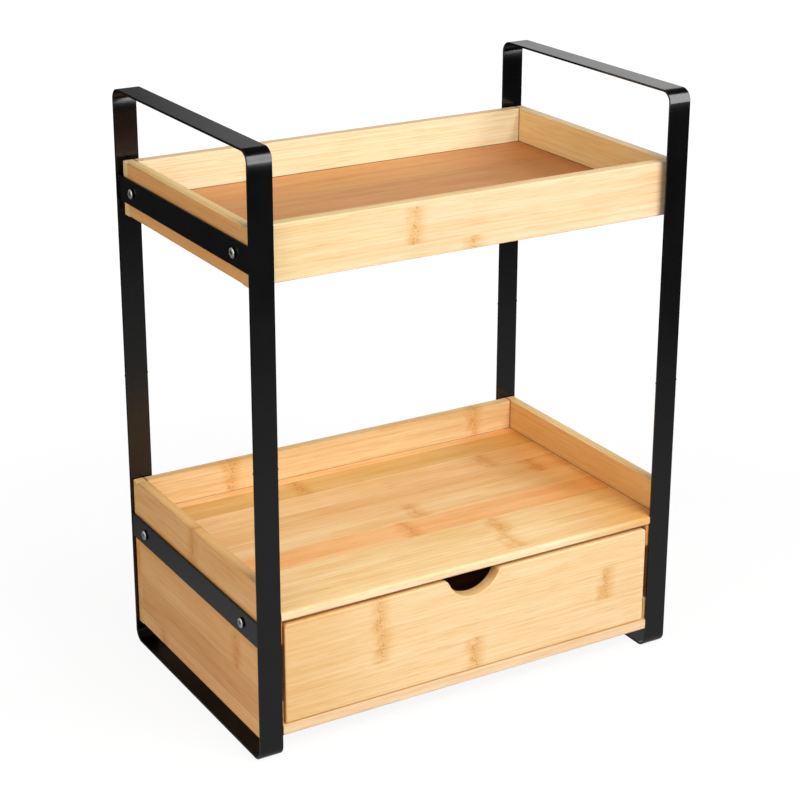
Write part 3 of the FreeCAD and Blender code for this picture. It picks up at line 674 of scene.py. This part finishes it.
def build_floor():
    """White paper that shows the shadow, and a lit sheet and a dark room in reflections."""
    mesh = bmesh.new()
    bmesh.ops.create_grid(mesh, x_segments=1, y_segments=1, size=FLOOR_SIZE / 2)
    data = bpy.data.meshes.new("floor")
    mesh.to_mesh(data)
    mesh.free()
    floor = bpy.data.objects.new("floor", data)
    floor.location.z = -FLOOR_DROP
    bpy.context.scene.collection.objects.link(floor)
    material, tree, surface = new_material("white paper floor")
    paper = add(tree, "ShaderNodeBsdfDiffuse", {"Color": linear("#D8D8D8")})
    lookup = add(tree, "ShaderNodeTexCoord")
    radius = add(tree, "ShaderNodeVectorMath", {0: lookup.outputs["Object"], 1: SHEET_MIDDLE},
                 operation="DISTANCE").outputs["Value"]
    sheet = mapped(tree, radius, SHEET_INNER, SHEET_OUTER, SHEET_LEVEL, ROOM_LEVEL,
                   interpolation_type="SMOOTHSTEP")
    own = mapped(tree, radius, GLOW_INNER, GLOW_OUTER, GLOW_NEAR, GLOW_FAR)
    ray = add(tree, "ShaderNodeLightPath").outputs
    seen = mapped(tree, ray["Is Glossy Ray"], 0.0, 1.0, GLOW_LEVEL, sheet)
    glow = add(tree, "ShaderNodeEmission", {"Color": linear("#FFFFFF"), "Strength": seen})
    direct = calculate(tree, "MULTIPLY", ray["Is Camera Ray"], own)
    share = calculate(tree, "MAXIMUM", direct, ray["Is Glossy Ray"])
    mixed = add(tree, "ShaderNodeMixShader", {0: share, 1: paper.outputs[0], 2: glow.outputs[0]})
    tree.links.new(mixed.outputs[0], surface)
    data.materials.append(material)


build_floor()

# %% [markdown]
# ## Soft light
# White all round gives the even fill, at a level where a colour renders about as it is
# written. For the camera it is full white. Reflections see the white sweep behind the
# caddy, a white card at the left and a dark room everywhere else, which keeps black steel
# black and lights up the tops of the loops. The key is a softbox high in front, and its
# own mirror image is left out. A weaker one stands low at the left for the side panels,
# and a small one close in front shows only as the highlights on the loops' bends.

# %% World and lamps
FILL_LEVEL = 0.4
SKY_LEVEL = 1.0                                 # for the camera
CARDS = (   # direction, the cosines at its rim and inside it, brightness in reflections
    ((0.75, 0.65, 0.1), 0.88, 0.975, 1.0),      # the white sweep, behind to the right
    ((-0.95, 0.2, 0.25), 0.75, 0.85, 1.0),      # a white card at the left
)
TARGET = Vector((0, 0, 0.2))                    # metres, what every lamp points at

world = bpy.data.worlds.new("white studio")
bpy.context.scene.world = world
world.use_nodes = True
sky = world.node_tree
sky.nodes.clear()
ray = add(sky, "ShaderNodeLightPath")
lookup = add(sky, "ShaderNodeTexCoord")
mirrored = ROOM_LEVEL
for direction, rim, inside, brightness in CARDS:
    towards = add(sky, "ShaderNodeVectorMath", {0: lookup.outputs["Generated"], 1: direction},
                  operation="DOT_PRODUCT")
    card = mapped(sky, towards.outputs["Value"], rim, inside, end=brightness)
    mirrored = calculate(sky, "ADD", mirrored, card)
shiny = mapped(sky, ray.outputs["Is Glossy Ray"], 0.0, 1.0, FILL_LEVEL, mirrored)
level = mapped(sky, ray.outputs["Is Camera Ray"], 0.0, 1.0, shiny, SKY_LEVEL)
white = add(sky, "ShaderNodeBackground", {"Color": linear("#FFFFFF"), "Strength": level})
add(sky, "ShaderNodeOutputWorld", {"Surface": white.outputs[0]})


def add_softbox(name, place, width, height, watts):
    """An area lamp that points at the middle of the caddy."""
    data = bpy.data.lights.new(name, "AREA")
    data.shape, data.size, data.size_y, data.energy = "RECTANGLE", width, height, watts
    lamp = bpy.data.objects.new(name, data)
    lamp.location = place
    lamp.rotation_euler = (TARGET - Vector(place)).to_track_quat("-Z", "Y").to_euler()
    bpy.context.scene.collection.objects.link(lamp)
    return lamp


key = add_softbox("key softbox", (0.22, -1.08, 1.2), width=0.8, height=0.5, watts=18.7)
key.visible_glossy = False
bend_light = add_softbox("strip light for the bends", (0.335, -0.55, 0.655),
                         width=0.5, height=0.24, watts=3.4)
bend_light.visible_diffuse = False
add_softbox("side softbox", (-1.3, -0.5, 0.7), width=0.8, height=0.8, watts=5.5)

# %% [markdown]
# ## The camera
# A catalogue picture is taken with a long lens from the front left, a little above the
# caddy, so that both tiers, the drawer and the left side show. The small shift slides
# the picture without turning the camera, as a view camera's rising front does.

# %% Camera
PICTURE = 800.0                     # pixels each way
SENSOR = 36.0                       # mm
CAMERA_PLACE = Vector((-0.653983, -1.099217, 0.684786))
AZIMUTH, ELEVATION, ROLL = (math.radians(a) for a in (30.150, 19.464, -0.057))
FOCAL_PIXELS = 2012.939
AXIS_PIXEL = (380.0, 332.0)         # where the lens axis meets the picture

ahead = Vector((math.sin(AZIMUTH) * math.cos(ELEVATION),
                math.cos(AZIMUTH) * math.cos(ELEVATION), -math.sin(ELEVATION)))
level_right = Vector((math.cos(AZIMUTH), -math.sin(AZIMUTH), 0))
level_up = level_right.cross(ahead)
right = math.cos(ROLL) * level_right + math.sin(ROLL) * level_up
up = -math.sin(ROLL) * level_right + math.cos(ROLL) * level_up
lens = bpy.data.cameras.new("camera")
lens.sensor_width = SENSOR
lens.lens = FOCAL_PIXELS / PICTURE * SENSOR
lens.shift_x = (PICTURE / 2 - AXIS_PIXEL[0]) / PICTURE
lens.shift_y = (AXIS_PIXEL[1] - PICTURE / 2) / PICTURE
camera = bpy.data.objects.new("camera", lens)
turned = Matrix((right, up, -ahead)).transposed().to_4x4()
camera.matrix_world = Matrix.Translation(CAMERA_PLACE) @ turned
bpy.context.scene.collection.objects.link(camera)
bpy.context.scene.camera = camera
bpy.context.scene.view_settings.view_transform = "Standard"
print("lens:", round(lens.lens, 2), "mm, shift:", round(lens.shift_x, 4), round(lens.shift_y, 4))

# %% [markdown]
# ## Bring the scene up to date
# The scene is updated once more, so that every piece and finish added above is in place.

# %% Update the scene
bpy.context.view_layer.update()
